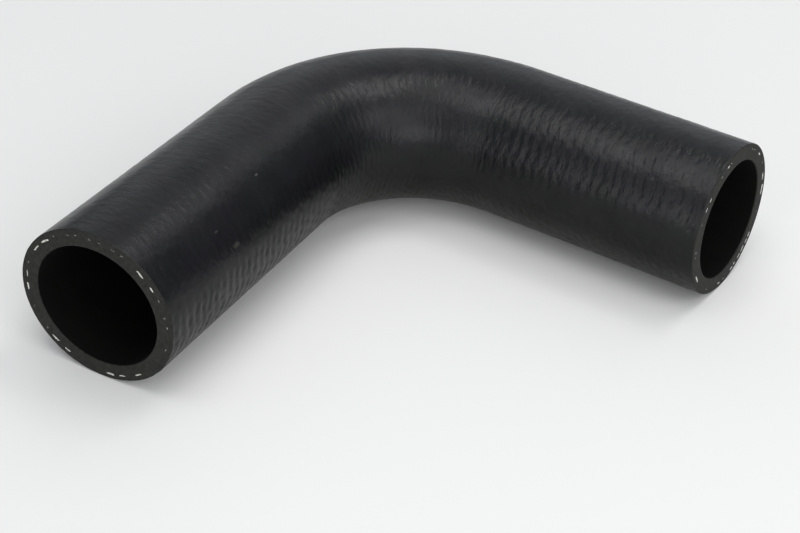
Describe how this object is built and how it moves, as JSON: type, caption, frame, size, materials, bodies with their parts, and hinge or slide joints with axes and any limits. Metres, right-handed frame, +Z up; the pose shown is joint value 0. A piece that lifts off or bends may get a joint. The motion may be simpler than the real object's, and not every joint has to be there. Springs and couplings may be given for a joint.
{
  "type": "coolant hose",
  "caption": "Moulded black rubber elbow hose with a right-angle bend, one leg longer than the other, open at both ends with cut reinforcing yarn in the end faces.",
  "frame": {"origin": "on the surface that the hose lies on, at the middle of its bounding box", "axes": "+X along the short leg towards its open end, -Y along the long leg towards its open end, +Z up out of the plane of the bend"},
  "size_m": [0.1446, 0.1536, 0.0445],
  "materials": {
    "rubber": "satin black, cured in a wrap that left fine rings across it",
    "yarn": "matt off-white filament yarn, cut off flush"
  },
  "bodies": {
    "root": {"hose_body": "rubber", "long_end_yarn": "yarn", "short_end_yarn": "yarn"}
  },
  "joints": []
}
